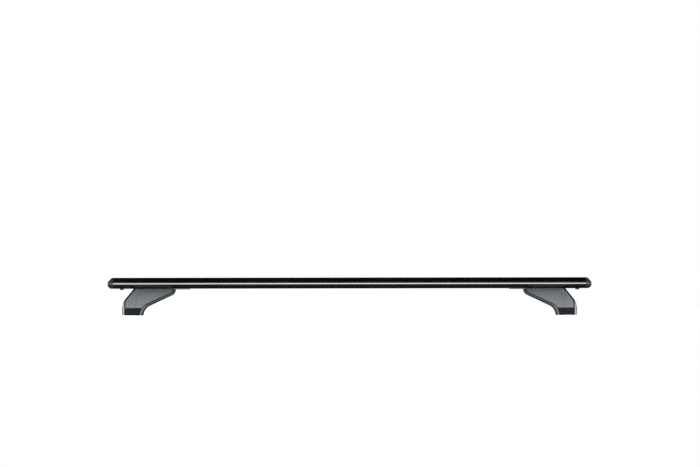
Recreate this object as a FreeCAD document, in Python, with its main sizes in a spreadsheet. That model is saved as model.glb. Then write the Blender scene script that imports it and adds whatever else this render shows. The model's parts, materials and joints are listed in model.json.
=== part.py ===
import FreeCAD, Part
import math
import os
import re
import Sketcher
from FreeCAD import Placement, Rotation, Vector

# Roof rack crossbar: a wing-shaped aluminium bar on two moulded feet.
# X runs along the bar, +Y is the leading edge, Z is up from the roof, all in millimetres.
# The right half is modelled and the left half is its mirror image.

SIZES = {
    # bar section and length
    "bar_length": 1248, "bar_underside": 71, "bar_height": 29, "lead_reach": 32,
    "trail_reach": 48, "edge_height": 13, "lead_radius": 7.5, "trail_radius": 5,
    "underside_flat": 13, "bar_wall": 2.2,
    # slots in the bar and the strips that fill them
    "top_mouth": 11, "top_channel": 21, "top_channel_depth": 6, "bottom_mouth": 15,
    "bottom_channel": 24, "bottom_channel_depth": 7.5, "slot_lip": 2.5,
    "strip_width": 20.7, "strip_depth": 3.2, "strip_gap": 0.15, "strip_root_gap": 1.5,
    "strip_root_depth": 2, "strip_crown": 0.9, "strip_crown_round": 55, "strip_end_gap": 36,
    # end caps
    "cap_reach": 16, "cap_top_reach": 4, "cap_bottom_reach": 7.5, "cap_face_low": 7,
    "cap_face_high": 16, "cap_high_round": 12, "cap_low_round": 10, "cap_bow": 0.8,
    "cap_bow_back": 1.6, "cap_bow_round": 450, "cap_corner_round": 4.5, "cap_plug_depth": 18,
    "cap_plug_gap": 0.3, "cap_tongue_depth": 12.5, "cap_notch_width": 12,
    "cap_notch_start": 2, "cap_notch_depth": 5, "cap_rib_width": 1.6, "cap_rib_place": 2.6,
    "cap_rib_rise": 1.2,
    # foot seen from the front
    "foot_gap": 0.3,
    "inner_slope": 24.8, "inner_bend_height": 18, "outer_lean": 38, "outer_bend_height": 32.7,
    "tip_round": 18.5, "inner_round": 28, "outer_round": 50,
    # foot seen from its end
    "foot_half_width": 67.5, "foot_skirt": 21, "foot_mid_draw": 23.5,
    "foot_mid_height": 43, "foot_top_draw": 45, "flare_round": 120, "skirt_round": 5,
    # foot seen from above
    "tip_draw": 48.5, "brow_draw": 37,
    "neck_draw": 28, "flank_step": 4, "bulge_draw": 26.5,
    "bulge_rise": 1, "waist_depth": 8.5, "tip_corner_round": 6, "brow_round": 10,
    "neck_round": 80, "heel_round": 8, "corner_round": 8.5, "bulge_round": 40,
    "waist_round": 100,
    # foot shell
    "foot_wall": 3.5, "slot_width": 12, "slot_end_wall": 11,
    "slot_height": 60, "spine_wall": 4, "spine_height": 49.5, "spine_gap": 3,
    "bore_height": 43.5, "bore_radius": 7.8, "bore_wall": 2.5, "rib_thickness": 3,
    # cover and its hinge
    "seam_lean": 7.6, "seam_gap": 0.3,
    "hinge_drop": 7.8, "knuckle_radius": 4.3, "pin_radius": 1.5, "pin_half_length": 24,
    "brow": 3, "ear_place": 16, "ear_width": 3, "ear_radius": 3.6, "ear_neck_turn": 52, "cover_roof": 6,
    "cover_lift": 0.6, "cover_rib_draw": 27.5, "catch_length": 14, "catch_draw": 17.5,
    "catch_width": 12, "catch_height": 24,
    # carriage in the bottom slot
    "tongue_width": 16,
    "tongue_depth": 1.7, "tongue_lap": 4, "end_block_length": 10, "end_block_width": 13,
    "end_block_drop": 3.1,
    # steel bracket, its bolts and nuts
    "bracket_thickness": 3, "bracket_half_width": 15,
    "bracket_bend": 2, "leg_foot": 14, "bolt_spacing": 27,
    "bolt_radius": 3, "bolt_length": 20, "bolt_head_radius": 6, "bolt_gap": 0.3,
    "bolt_socket_flats": 4, "bolt_socket_depth": 2.2, "nut_flats": 10, "nut_height": 5,
    # clamp screw and plate
    "screw_radius": 4, "screw_length": 35, "screw_head_radius": 6.5,
    "screw_head_height": 8, "screw_socket_flats": 6, "screw_socket_depth": 4,
    "washer_radius": 7.5, "washer_thickness": 1.6, "running_gap": 0.05, "clip_radius": 6,
    "clip_thickness": 1.2, "plate_thickness": 5, "plate_half_width": 24, "plate_foot": 16,
    "plate_height": 33, "plate_round": 4,
    # places along the bar, each named at_ and measured inwards from the bar's end
    "at_foot_tip": 164, "at_brow": 158, "at_neck": 131, "at_foot_inner": 77, "at_heel": 73,
    "at_slot": 72, "at_seam": 56, "at_hinge": 51.4, "at_foot_outer": 23.5,
    "at_tongue_tip": 202, "at_carriage_start": 158, "at_carriage_end": 16, "at_bracket": 134,
    "at_bolt": 119,
}

doc = FreeCAD.newDocument("crossbar")
sheet = doc.addObject("Spreadsheet::Sheet", "sizes")
for row, (name, value) in enumerate(SIZES.items(), start=1):
    sheet.set(f"A{row}", name)
    sheet.set(f"B{row}", str(value))
    sheet.setAlias(f"B{row}", name)
doc.recompute()

PLANES = {
    "side": Rotation(Vector(1, 0, 0), 90),
    "end": Rotation(Vector(1, 1, 1), 120),
    "plan": Rotation(),
}
ROLES = {"side": "XZ_Plane", "end": "YZ_Plane", "plan": "XY_Plane"}


def named(words, sheet_name=""):
    """An expression over the named sizes, with each place counted from the middle of the bar."""
    def swap(found):
        name = found[0]
        if not sheet.getCellFromAlias(name):
            return name
        if name.startswith("at_"):
            return f"({sheet_name}bar_length / 2 - {sheet_name}{name})"
        return sheet_name + name
    return re.sub(r"[a-z]\w+", swap, words)


def number(words):
    return float(sheet.evalExpression(named(words)))


def bind(thing, **expressions):
    for place, words in expressions.items():
        thing.setExpression(place.replace("__", "."), named(words, "sizes."))


# Sketches

def constrain(sketch, kind, *rest, words=None):
    """Add a constraint, and bind its value where it has one."""
    if words is None:
        return sketch.addConstraint(Sketcher.Constraint(kind, *rest))
    index = sketch.addConstraint(Sketcher.Constraint(kind, *rest, number(words)))
    sketch.setExpression(f"Constraints[{index}]", named(words, "sizes."))
    return index


def pin(sketch, piece, end, across, up):
    """Hold a point of the sketch at two named distances from the origin."""
    constrain(sketch, "DistanceX", -1, 1, piece, end, words=across)
    constrain(sketch, "DistanceY", -1, 1, piece, end, words=up)


def corner_cut(before, corner, after, radius):
    """Where a round of this radius leaves its two sides, and the round itself."""
    back = (before - corner).normalize()
    ahead = (after - corner).normalize()
    opening = back.getAngle(ahead)
    setback = radius / math.tan(opening / 2)
    middle = corner + (back + ahead).normalize() * (radius / math.sin(opening / 2))
    start = corner + back * setback
    end = corner + ahead * setback
    left_turn = back.cross(ahead).z < 0
    first, last = (start, end) if left_turn else (end, start)
    angles = [math.atan2(point.y - middle.y, point.x - middle.x) for point in (first, last)]
    if angles[1] < angles[0]:
        angles[1] += 2 * math.pi
    arc = Part.ArcOfCircle(Part.Circle(middle, Vector(0, 0, 1), radius), *angles)
    return start, end, arc, left_turn


def outline(sketch, corners):
    """A closed outline through pinned corners (across, up, radius or nothing)."""
    count = len(corners)
    points = [Vector(number(corner[0]), number(corner[1]), 0) for corner in corners]
    cuts = [corner_cut(points[i - 1], points[i], points[(i + 1) % count], number(corners[i][2]))
            if len(corners[i]) == 3 else None for i in range(count)]
    lines = []
    for i in range(count):
        start = cuts[i][1] if cuts[i] else points[i]
        end = cuts[(i + 1) % count][0] if cuts[(i + 1) % count] else points[(i + 1) % count]
        lines.append(sketch.addGeometry(Part.LineSegment(start, end), False))
    for i, corner in enumerate(corners):
        before, after = lines[i - 1], lines[i]
        if cuts[i] is None:
            constrain(sketch, "Coincident", before, 2, after, 1)
            pin(sketch, after, 1, corner[0], corner[1])
            continue
        arc = sketch.addGeometry(cuts[i][2], False)
        first, last = (1, 2) if cuts[i][3] else (2, 1)
        constrain(sketch, "Tangent", before, 2, arc, first)
        constrain(sketch, "Tangent", arc, last, after, 1)
        constrain(sketch, "Radius", arc, words=corner[2])
        mark = sketch.addGeometry(Part.Point(points[i]), True)
        pin(sketch, mark, 1, corner[0], corner[1])
        constrain(sketch, "PointOnObject", mark, 1, before)
        constrain(sketch, "PointOnObject", mark, 1, after)


def mirrored(half):
    """An outline symmetric about its upright axis, from the corners of its right half."""
    left = [("-(" + corner[0] + ")",) + tuple(corner[1:]) for corner in reversed(half)]
    return list(half) + left


def rectangle(low_across, low_up, high_across, high_up):
    return [(low_across, low_up), (high_across, low_up), (high_across, high_up), (low_across, high_up)]


def drawing(name, plane, corners, off="0"):
    """A free sketch on one of the three main planes, off to one side of it."""
    sketch = doc.addObject("Sketcher::SketchObject", name)
    sketch.Placement = Placement(PLANES[plane].multVec(Vector(0, 0, number(off))), PLANES[plane])
    if off != "0":
        axis = {"side": "y", "end": "x", "plan": "z"}[plane]
        sign = "-" if plane == "side" else ""
        sketch.setExpression(f"Placement.Base.{axis}", f"{sign}({named(off, "sizes.")})")
    outline(sketch, corners)
    return sketch


def prism(name, plane, corners, start, length):
    """A solid drawn on a plane and pushed out from start, along the plane's own axis."""
    solid = doc.addObject("Part::Extrusion", name)
    solid.Base = drawing(name + "_outline", plane, corners, start)
    solid.DirMode = "Custom"
    solid.Dir = PLANES[plane].multVec(Vector(0, 0, 1))
    solid.Solid = True
    bind(solid, LengthFwd=length)
    return solid


def common(name, *pieces):
    solid = doc.addObject("Part::MultiCommon", name)
    solid.Shapes = list(pieces)
    return solid


def fused(name, *pieces):
    solid = doc.addObject("Part::MultiFuse", name)
    solid.Shapes = list(pieces)
    return solid


def cut(name, base, *tools):
    solid = doc.addObject("Part::Cut", name)
    solid.Base = base
    solid.Tool = tools[0] if len(tools) == 1 else fused(name + "_tools", *tools)
    return solid


# The foot's outer form, which the shell and its cover share

def inner_rise(across):
    """Height of the sloped inner face's line at a place along the bar."""
    return f"inner_bend_height + (at_foot_inner - ({across})) * tan(inner_slope)"


def side_form(inset, top):
    """The foot seen from the front, set in from its faces."""
    slope_shift = f"{inset} / cos(inner_slope)"
    lean_shift = f"{inset} / cos(outer_lean)"
    tip = f"at_foot_tip + {inset}"
    heel = f"at_foot_inner + {inset}"
    outer = f"at_foot_outer - {inset}"
    lean_start = f"outer_bend_height + ({inset} - {lean_shift}) / tan(outer_lean)"
    lean_end = f"at_foot_outer - ({top} - outer_bend_height) * tan(outer_lean) - {lean_shift}"
    return [
        (heel, "0"),
        (outer, "0"),
        (outer, lean_start, f"outer_round - {inset}"),
        (lean_end, top),
        (tip, top),
        (tip, f"{inner_rise(tip)} + {slope_shift}", f"tip_round - {inset}"),
        (heel, f"{inner_rise(heel)} + {slope_shift}", f"inner_round + {inset}"),
    ]


def flare_form(inset, top):
    """The foot seen from its end: an upright skirt, then a hollow flare up to the bar."""
    return mirrored([
        (f"foot_half_width - {inset}", "0"),
        (f"foot_half_width - {inset}", "foot_skirt", "skirt_round"),
        (f"foot_half_width - foot_mid_draw - {inset}", "foot_mid_height", "flare_round"),
        (f"foot_half_width - foot_top_draw - {inset}", top),
    ])


def plan_form(inset):
    """The foot seen from above: narrow at the tip, widest at the skirt, waisted outside."""
    bulge = f"at_foot_outer + bulge_rise - {inset}"
    half = [
        (f"{bulge}", "foot_half_width - bulge_draw", "bulge_round"),
        (f"at_foot_outer - flank_step - {inset}", f"foot_half_width - {inset}", f"corner_round - {inset}"),
        (f"at_heel + {inset}", f"foot_half_width - {inset}", "heel_round"),
        (f"at_neck + {inset}", f"foot_half_width - neck_draw - {inset}", "neck_round"),
        (f"at_brow + {inset}", f"foot_half_width - brow_draw - {inset}", "brow_round"),
        (f"at_foot_tip + {inset}", f"foot_half_width - tip_draw - {inset}", "tip_corner_round"),
    ]
    other = [(across, f"-({up})", radius) for across, up, radius in reversed(half)]
    return half + other + [(f"{bulge} - waist_depth", "0", "waist_round")]


def foot_form(name, inset, top):
    """What the front, end and top views of the foot have in common."""
    width = "2 * foot_half_width + 2"
    return common(
        name,
        prism(name + "_side", "side", side_form(inset, top), "-foot_half_width - 1", width),
        prism(name + "_end", "end", flare_form(inset, top),
              "at_foot_tip - 1", "at_foot_outer - at_foot_tip + 5"),
        prism(name + "_plan", "plan", plan_form(inset), "-1", f"{top} + 2"),
    )


# Bodies, drawn on their own origin planes

def new_body(name):
    body = doc.addObject("PartDesign::Body", name)
    body.Label = name
    body.AllowCompound = True
    return body


def body_sketch(body, name, plane, off="0", across="0", up="0"):
    """A sketch on one of the body's planes, moved along the plane's axis and within it."""
    sketch = body.newObject("Sketcher::SketchObject", f"{body.Label}_{name}")
    support = next(item for item in body.Origin.OriginFeatures if item.Role == ROLES[plane])
    sketch.AttachmentSupport = [(support, "")]
    sketch.MapMode = "FlatFace"
    bind(sketch, AttachmentOffset__Base__x=across, AttachmentOffset__Base__y=up,
         AttachmentOffset__Base__z=off)
    return sketch


def feature(body, kind, name, sketch, length=None, sides="One side", backwards=False):
    """Push a sketch out of the body or through it."""
    made = body.newObject(f"PartDesign::{kind}", f"{body.Label}_{name}")
    made.Profile = sketch
    made.SideType = sides
    made.Reversed = backwards
    if length is None:
        made.Type = "ThroughAll"
    else:
        bind(made, Length=length)
    body.Tip = made
    return made


def turned(body, kind, name, sketch, axis):
    made = body.newObject(f"PartDesign::{kind}", f"{body.Label}_{name}")
    made.Profile = sketch
    made.ReferenceAxis = (sketch, [axis])
    made.Angle = 360
    body.Tip = made
    return made


def circle(sketch, radius, across="0", up="0"):
    ring = Part.Circle(Vector(number(across), number(up), 0), Vector(0, 0, 1), number(radius))
    index = sketch.addGeometry(ring, False)
    pin(sketch, index, 3, across, up)
    constrain(sketch, "Radius", index, words=radius)


def hexagon(flats, across="0", up="0"):
    """Corners of a hexagon, two of them to the sides, by its size across flats."""
    half = f"{flats} / 2"
    tip = f"{flats} / 2 / cos(30)"
    turns = [("1", "0"), ("0.5", "1"), ("-0.5", "1"), ("-1", "0"), ("-0.5", "-1"), ("0.5", "-1")]
    return [(f"{across} + {side} * {tip}", f"{up} + {rise} * {half}") for side, rise in turns]


def stepped(bottom, *levels):
    """A symmetric stack of blocks, each given by its half-width and its top."""
    half = []
    for half_width, top in levels:
        half += [(half_width, bottom), (half_width, top)]
        bottom = top
    return mirrored(half)


def row_of(body, name, axis, features, spacing, count=2):
    pattern = body.newObject("PartDesign::LinearPattern", f"{body.Label}_{name}")
    pattern.Originals = features
    pattern.Direction = (next(item for item in body.Origin.OriginFeatures if item.Role == axis), [""])
    pattern.Occurrences = count
    bind(pattern, Length=spacing)
    body.Tip = pattern


# The wing section

BAR_TOP = "bar_underside + bar_height"
EDGE = "bar_underside + edge_height"


def sweep_radius(reach, rise, nose):
    """Radius of the long arc that starts level and runs tangent into the nose."""
    return f"(pow({reach} - {nose}; 2) + pow({rise}; 2) - pow({nose}; 2)) / (2 * ({rise} - {nose}))"


def side_arcs(sketch, side, inset, top_end, low_end, closing=False):
    """Top, nose and bottom arcs on one side of the wing, set in from its skin."""
    sign = "" if side == "lead" else "-"
    reach, nose = f"{side}_reach", f"{side}_radius"
    top_radius = sweep_radius(reach, "(bar_height - edge_height)", nose)
    low_radius = sweep_radius(f"({reach} - underside_flat)", "edge_height", nose)
    nose_middle = Vector(number(f"{sign}({reach} - {nose})"), number(EDGE), 0)
    top_middle = Vector(0, number(f"{BAR_TOP} - {top_radius}"), 0)
    low_middle = Vector(number(f"{sign}underside_flat"), number(f"bar_underside + {low_radius}"), 0)

    def direction(start, end):
        return math.atan2(end.y - start.y, end.x - start.x) % (2 * math.pi)

    def arc(middle, radius, first, last):
        last += 2 * math.pi if last < first else 0
        return sketch.addGeometry(
            Part.ArcOfCircle(Part.Circle(middle, Vector(0, 0, 1), radius), first, last), False)

    inner_top = number(f"{top_radius} - {inset}")
    inner_low = number(f"{low_radius} - {inset}")
    high = math.acos((number(top_end) - top_middle.x) / inner_top)
    low = 2 * math.pi - math.acos((number(low_end) - low_middle.x) / inner_low)
    top_join, low_join = direction(top_middle, nose_middle), direction(low_middle, nose_middle)
    nose_size = number(f"{nose} - {inset}")
    if side == "lead":
        top = arc(top_middle, inner_top, top_join, high)
        tip = arc(nose_middle, nose_size, low_join, top_join)
        bottom = arc(low_middle, inner_low, low, low_join)
        joins, free = ((tip, 2, top, 1), (bottom, 2, tip, 1)), ((top, 2), (bottom, 1))
    else:
        top = arc(top_middle, inner_top, high, top_join)
        tip = arc(nose_middle, nose_size, top_join, low_join)
        bottom = arc(low_middle, inner_low, low_join, low)
        joins, free = ((top, 2, tip, 1), (tip, 2, bottom, 1)), ((top, 1), (bottom, 2))
    for join in joins:
        constrain(sketch, "Tangent", *join)
    pin(sketch, tip, 3, f"{sign}({reach} - {nose})", EDGE)
    constrain(sketch, "Radius", tip, words=f"{nose} - {inset}")
    constrain(sketch, "DistanceX", -1, 1, top, 3, words="0")
    constrain(sketch, "DistanceX", -1, 1, bottom, 3, words=f"{sign}underside_flat")
    constrain(sketch, "DistanceX", -1, 1, *free[1], words=low_end)
    if not closing:
        constrain(sketch, "DistanceX", -1, 1, *free[0], words=top_end)
        constrain(sketch, "Radius", top, words=f"{top_radius} - {inset}")
        constrain(sketch, "Radius", bottom, words=f"{low_radius} - {inset}")
    return free


def joined(sketch, first, last):
    """A straight line from one free end to another."""
    line = sketch.addGeometry(Part.LineSegment(sketch.getPoint(*first), sketch.getPoint(*last)), False)
    constrain(sketch, "Coincident", line, 1, *first)
    constrain(sketch, "Coincident", line, 2, *last)
    return line


def wing(sketch):
    """The whole outline: two top arcs, two noses, two bottom arcs and a flat."""
    lead_top, lead_low = side_arcs(sketch, "lead", "0", "0", "underside_flat")
    trail_top, trail_low = side_arcs(sketch, "trail", "0", "0", "-underside_flat", closing=True)
    constrain(sketch, "Coincident", *lead_top, *trail_top)
    constrain(sketch, "Horizontal", joined(sketch, trail_low, lead_low))


def chamber(sketch, side, inset, web):
    """The hollow between the skin and the web beside the slots."""
    sign = "" if side == "lead" else "-"
    top, low = side_arcs(sketch, side, inset, f"{sign}({web})", f"{sign}({web})")
    joined(sketch, top, low)


# Bar and strips

WEB = "(bottom_channel / 2 + bar_wall)"
TOP_LIP = f"{BAR_TOP} - strip_depth"
TOP_CHANNEL = f"{TOP_LIP} - slot_lip"
BOTTOM_LIP = "bar_underside + slot_lip"
BOTTOM_CHANNEL = f"{BOTTOM_LIP} + bottom_channel_depth"
BAR_END = "bar_length / 2"


def make_bar():
    body = new_body("bar_profile")
    skin = body_sketch(body, "wing", "end")
    wing(skin)
    feature(body, "Pad", "skin", skin, "bar_length", "Symmetric")
    hollow = body_sketch(body, "chambers", "end")
    chamber(hollow, "lead", "bar_wall", WEB)
    chamber(hollow, "trail", "bar_wall", WEB)
    feature(body, "Pocket", "hollows", hollow, None, "Symmetric")
    between = body_sketch(body, "between_slots", "end")
    outline(between, stepped(f"{BOTTOM_CHANNEL} + bar_wall", (
        "bottom_channel / 2", f"{TOP_CHANNEL} - top_channel_depth - bar_wall")))
    feature(body, "Pocket", "middle_hollow", between, None, "Symmetric")
    top_slot = body_sketch(body, "top_slot", "end")
    outline(top_slot, stepped(
        f"{TOP_CHANNEL} - top_channel_depth", ("top_channel / 2", TOP_CHANNEL),
        ("top_mouth / 2", TOP_LIP), ("strip_width / 2 + strip_gap", f"{BAR_TOP} + 1")))
    feature(body, "Pocket", "top_channel", top_slot, None, "Symmetric")
    bottom_slot = body_sketch(body, "bottom_slot", "end")
    outline(bottom_slot, stepped(
        "bar_underside - 1", ("bottom_mouth / 2", BOTTOM_LIP), ("bottom_channel / 2", BOTTOM_CHANNEL)))
    feature(body, "Pocket", "bottom_channel", bottom_slot, None, "Symmetric")
    return body


def make_top_strip():
    body = new_body("top_strip")
    section = body_sketch(body, "section", "end")
    sides = stepped(
        f"{TOP_CHANNEL} - strip_root_depth",
        ("top_channel / 2 - strip_root_gap", TOP_CHANNEL), ("top_mouth / 2 - strip_gap", TOP_LIP),
        ("strip_width / 2", f"{BAR_TOP} - strip_crown"))
    half = len(sides) // 2
    crown = ("0", BAR_TOP, "strip_crown_round")
    outline(section, sides[:half] + [crown] + sides[half:])
    feature(body, "Pad", "strip", section, "bar_length", "Symmetric")
    return body


def make_bottom_strip():
    body = new_body("bottom_strip")
    section = body_sketch(body, "section", "end")
    outline(section, stepped(
        "bar_underside + strip_gap", ("bottom_mouth / 2 - strip_gap", BOTTOM_LIP),
        ("bottom_channel / 2 - strip_root_gap", f"{BOTTOM_LIP} + strip_root_depth")))
    feature(body, "Pad", "strip", section, "2 * (at_carriage_start - strip_end_gap)", "Symmetric")
    return body


# End cap: the wing's outline rounded over, with plugs in the hollows and a tongue in the slot

def wing_prism(name, start, length):
    solid = doc.addObject("Part::Extrusion", name)
    sketch = doc.addObject("Sketcher::SketchObject", name + "_outline")
    sketch.Placement = Placement(Vector(number(start), 0, 0), PLANES["end"])
    bind(sketch, Placement__Base__x=start)
    wing(sketch)
    solid.Base = sketch
    solid.DirMode = "Custom"
    solid.Dir = Vector(1, 0, 0)
    solid.Solid = True
    bind(solid, LengthFwd=length)
    return solid


def cap_head():
    tip = f"{BAR_END} + cap_reach"
    above, below = f"{BAR_TOP} + 1", "bar_underside - 1"
    front = [
        (BAR_END, above), (BAR_END, below), (f"{BAR_END} + cap_bottom_reach", below),
        (tip, "bar_underside + cap_face_low", "cap_low_round"),
        (tip, "bar_underside + cap_face_high", "cap_high_round"),
        (f"{BAR_END} + cap_top_reach", above),
    ]
    corner = f"{tip} - cap_bow_back"
    middle = "(lead_reach - trail_reach) / 2"
    above_view = [
        (BAR_END, "lead_reach + 1"), (BAR_END, "-trail_reach - 1"),
        (corner, "-trail_reach", "cap_corner_round"), (f"{tip} + cap_bow", middle, "cap_bow_round"),
        (corner, "lead_reach", "cap_corner_round"), (f"{corner} - 1", "lead_reach + 1"),
    ]
    width = "lead_reach + trail_reach + 4"
    return common(
        "cap_head", wing_prism("cap_wing", BAR_END, "cap_reach"),
        prism("cap_front", "side", front, "-lead_reach - 2", width),
        prism("cap_above", "plan", above_view, "bar_underside - 1", "bar_height + 2"))


def cap_plug(side):
    """A stub that fills one hollow of the bar."""
    solid = doc.addObject("Part::Extrusion", f"cap_plug_{side}")
    sketch = doc.addObject("Sketcher::SketchObject", f"cap_plug_{side}_outline")
    start = f"{BAR_END} - cap_plug_depth"
    sketch.Placement = Placement(Vector(number(start), 0, 0), PLANES["end"])
    bind(sketch, Placement__Base__x=start)
    chamber(sketch, side, "(bar_wall + cap_plug_gap)", f"({WEB} + cap_plug_gap)")
    solid.Base = sketch
    solid.DirMode = "Custom"
    solid.Dir = Vector(1, 0, 0)
    solid.Solid = True
    bind(solid, LengthFwd="cap_plug_depth")
    return solid


def make_end_cap():
    tongue_start = f"{BAR_END} - cap_tongue_depth"
    tongue_floor = "bar_underside + strip_gap + cap_rib_rise"
    tongue = prism("cap_tongue", "end", stepped(
        tongue_floor, ("bottom_mouth / 2 - strip_gap", f"{BOTTOM_LIP} + strip_gap"),
        ("bottom_channel / 2 - strip_gap", f"{BOTTOM_CHANNEL} - strip_gap")),
        tongue_start, "cap_tongue_depth")
    ribs = [prism(f"cap_tongue_rib_{i}", "end", rectangle(
        f"{sign}cap_rib_place - cap_rib_width / 2", "bar_underside + strip_gap",
        f"{sign}cap_rib_place + cap_rib_width / 2", tongue_floor), tongue_start, "cap_tongue_depth")
        for i, sign in enumerate(("", "-"))]
    notch = prism("cap_notch", "end", rectangle(
        "-cap_notch_width / 2", "bar_underside - 1",
        "cap_notch_width / 2", "bar_underside + cap_notch_depth"),
        f"{BAR_END} + cap_notch_start", "cap_reach")
    stubs = [cap_plug("lead"), cap_plug("trail")]
    return cut("right_end_cap", fused("cap_body", cap_head(), tongue, *ribs, *stubs), notch)


# Foot shell, cover and hinge

HINGE_HEIGHT = "bar_underside - foot_gap - hinge_drop"
FOOT_TOP = "bar_underside - foot_gap"
SLOT_END = "(at_slot + slot_width)"
LEG_START = "(at_slot - bracket_thickness)"
TUB_END = f"({LEG_START} - rib_thickness)"
RIB_PLACE = "foot_half_width - cover_rib_draw"
CATCH_PLACE = "-(foot_half_width - catch_draw)"


def seam(up):
    """Where the joint between shell and cover lies at a height."""
    return f"at_seam - ({up}) * tan(seam_lean)"


def across_block(name, low_along, low_up, high_along, high_up, half_width="foot_half_width", middle="0"):
    """A block seen from the front as a rectangle, and centred across the foot."""
    return prism(name, "side", rectangle(low_along, low_up, high_along, high_up),
                 f"-({middle}) - ({half_width})", f"2 * ({half_width})")


def rod(name, radius, start, length, along, across="0", up="0"):
    """A cylinder along the bar or across it."""
    solid = doc.addObject("Part::Cylinder", name)
    turn = Rotation(Vector(0, 1, 0), 90) if along else Rotation(Vector(1, 0, 0), -90)
    solid.Placement = Placement(Vector(), turn)
    place = {"x": start, "y": across} if along else {"x": across, "y": start}
    bind(solid, Radius=radius, Height=length, Placement__Base__x=place["x"],
         Placement__Base__y=place["y"], Placement__Base__z=up)
    return solid


def shell_region():
    knuckle_side = "at_hinge - knuckle_radius - seam_gap"
    return prism("shell_side_of_seam", "side", [
        ("at_foot_tip - 1", "-1"), (f"{seam('-1')} - seam_gap", "-1"),
        (f"{seam(HINGE_HEIGHT)} - seam_gap", f"{HINGE_HEIGHT} + seam_gap"),
        (knuckle_side, f"{HINGE_HEIGHT} + seam_gap"), (knuckle_side, f"{FOOT_TOP} - brow"),
        ("at_foot_outer", f"{FOOT_TOP} - brow"), ("at_foot_outer", f"{FOOT_TOP} + 1"),
        ("at_foot_tip - 1", f"{FOOT_TOP} + 1"),
    ], "-foot_half_width - 1", "2 * foot_half_width + 2")


def ear_form(name, middle, slack, necked):
    """One hinge ear with its narrow neck, or the wider gap that it needs in the cover."""
    reach = f"(ear_radius + {slack})"
    low, top = f"{HINGE_HEIGHT} - {reach}", f"{FOOT_TOP} - brow / 2"
    inner, outer = f"at_hinge - {reach}", f"at_hinge + {reach}"
    neck = f"at_hinge + {reach} * cos(ear_neck_turn)"
    side = [(outer, HINGE_HEIGHT), (neck, f"{HINGE_HEIGHT} + {reach} * sin(ear_neck_turn)"), (neck, top)]
    return prism(name, "side", [
        (inner, low, "ear_radius * 0.9"), (outer, low, "ear_radius * 0.9"),
        *(side if necked else [(outer, top)]), (inner, top),
    ], f"-({middle}) - ear_width / 2 - {slack}", f"ear_width + 2 * {slack}")


def hinge_hole(name):
    """The hole for the hinge pin, closed at the trailing side and open at the leading side."""
    return rod(name, "pin_radius + running_gap", "-pin_half_length - seam_gap",
               "pin_half_length + seam_gap + foot_half_width", False, "at_hinge", HINGE_HEIGHT)


def make_foot_shell(form, core):
    sheet_form = flare_form("(foot_wall + spine_gap)", FOOT_TOP)
    spine = common(
        "spine", prism("spine_sheet", "end", sheet_form, SLOT_END, "spine_wall"),
        across_block("spine_reach", "at_slot", "-1", "at_foot_outer", "spine_height"))
    tube = common("bore_tube", form, rod(
        "tube_rod", "bore_radius + bore_wall", "at_foot_tip", f"{LEG_START} - at_foot_tip", True,
        up="bore_height"))
    ears = [ear_form(f"ear_{i}", f"{sign}ear_place", "0", True) for i, sign in enumerate(("", "-"))]
    hung = common("hung_ears", form, fused("ears", *ears))
    tub = common("tub", core, across_block("tub_reach", "at_foot_tip", "-1", TUB_END, "bar_underside + 5"))
    under_plate = f"{FOOT_TOP} - bracket_thickness"
    rib_places = ("at_bolt - nut_flats", "at_bolt + bolt_spacing / 2")
    ribs = [across_block(f"tub_rib_{i}", f"{place} - rib_thickness / 2", "0",
                         f"{place} + rib_thickness / 2", under_plate) for i, place in enumerate(rib_places)]
    hollow = cut("tub_hollow", tub, *ribs)
    outer = common("shell_outer", form, shell_region())
    solid = fused("shell_solid", cut("shell_hollowed", outer, hollow), tube, spine, hung)
    slot = prism(
        "bracket_slot", "end", flare_form("slot_end_wall", "slot_height"), "at_slot", "slot_width")
    slot_mouth = across_block(
        "slot_mouth", "at_slot", "-1", SLOT_END, "1", "foot_half_width - slot_end_wall")
    wide = "bracket_half_width + bolt_gap"
    bracket_room = prism("bracket_room", "side", [
        (TUB_END, under_plate), (f"{LEG_START} - bracket_bend", under_plate),
        (LEG_START, f"{under_plate} - bracket_bend"), (LEG_START, "leg_foot"),
        ("at_slot + 0.1", "leg_foot"), ("at_slot + 0.1", "bar_underside"), (TUB_END, "bar_underside"),
    ], f"-({wide})", f"2 * ({wide})")
    bore = rod(
        "key_bore", "bore_radius", "at_foot_tip - 1", f"{LEG_START} + 1 - at_foot_tip", True,
        up="bore_height")
    journal = rod(
        "journal", "screw_radius + running_gap", SLOT_END, "spine_wall + 1", True, up="bore_height")
    tongue_room = across_block(
        "tongue_room", "at_foot_tip - 1", f"{FOOT_TOP} - tongue_depth - bolt_gap",
        "at_carriage_start + tongue_lap + bolt_gap", "bar_underside", "tongue_width / 2 + bolt_gap")
    pin_hole = hinge_hole("ear_hole")
    return cut("right_foot_shell", solid, slot, slot_mouth, bracket_room, bore, journal, tongue_room,
               pin_hole)


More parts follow.
